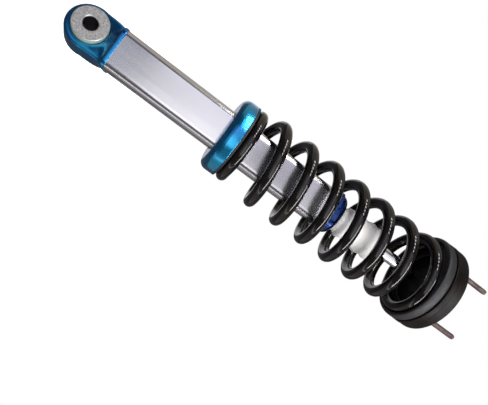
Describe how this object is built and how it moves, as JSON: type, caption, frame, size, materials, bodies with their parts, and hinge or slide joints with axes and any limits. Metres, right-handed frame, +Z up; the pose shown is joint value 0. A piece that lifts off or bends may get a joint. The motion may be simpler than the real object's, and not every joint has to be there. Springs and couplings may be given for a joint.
{
  "type": "suspension strut",
  "caption": "Coil-over suspension strut with a blue lower eye, flat-sided silver body, black coil spring, bump stop, chrome rod and studded top mount.",
  "frame": {"origin": "centre of the lower eye's bolt hole", "axes": "+Z up the strut from the lower eye to the top mount, Y along the lower bolt hole"},
  "size_m": [0.136, 0.136, 0.6752],
  "materials": {
    "blue_anodised": "anodised",
    "zinc_steel": "zinc plated",
    "rubber": "matte",
    "satin_aluminium": "satin",
    "gloss_black_steel": "gloss powder coat",
    "bronze": "turned",
    "foam": "closed-cell foam",
    "chrome": "polished",
    "ptfe": "plain",
    "black_paint": "semi-gloss",
    "stud_steel": "plain"
  },
  "bodies": {
    "top_mount": {"coil_spring": "gloss_black_steel", "piston_rod": "chrome", "piston_nut": "zinc_steel", "lower_shims": "zinc_steel", "piston": "satin_aluminium", "piston_band": "ptfe", "upper_shims": "zinc_steel", "rebound_plate": "zinc_steel", "rebound_bumper": "foam", "upper_isolator": "rubber", "upper_seat": "black_paint", "top_plate": "black_paint", "top_studs": "stud_steel", "mount_shell": "black_paint", "mount_rubber": "rubber", "mount_sleeve": "zinc_steel", "lower_washer": "zinc_steel", "upper_washer": "zinc_steel", "rod_nut": "zinc_steel"},
    "damper": {"eye_cap": "blue_anodised", "eye_shell": "zinc_steel", "eye_rubber": "rubber", "body_tube": "satin_aluminium", "cap_ring": "rubber", "snap_ring": "zinc_steel", "spring_perch": "blue_anodised", "lower_isolator": "rubber", "gland_cap": "blue_anodised", "gland_ring": "rubber", "guide_bush": "bronze", "rod_seal": "rubber", "rod_wiper": "rubber", "bump_stop": "foam"},
    "floating_piston_body": {"floating_piston": "satin_aluminium", "floating_ring": "rubber"},
    "bolt_sleeve": {"eye_sleeve": "zinc_steel", "eye_washers": "zinc_steel"}
  },
  "joints": [
    {"name": "damper_travel", "type": "slide", "parent": "top_mount", "child": "damper", "axis": [0, 0, 1], "range_m": [0, 0.08], "stiffness_N_per_m": 90000, "springref_m": -0.012, "deforming": ["coil_spring"]},
    {"name": "floating_slide", "type": "slide", "parent": "damper", "child": "floating_piston_body", "axis": [0, 0, 1], "range_m": [-0.014, 0]},
    {"name": "eye_twist", "type": "hinge", "parent": "damper", "child": "bolt_sleeve", "pos_m": [0, 0, 0], "axis": [0, 1, 0], "range_deg": [-15, 15], "stiffness_Nm_per_rad": 60}
  ],
  "couplings": [
    {"joint": "floating_slide", "follows": "damper_travel", "ratio": -0.1531}
  ]
}
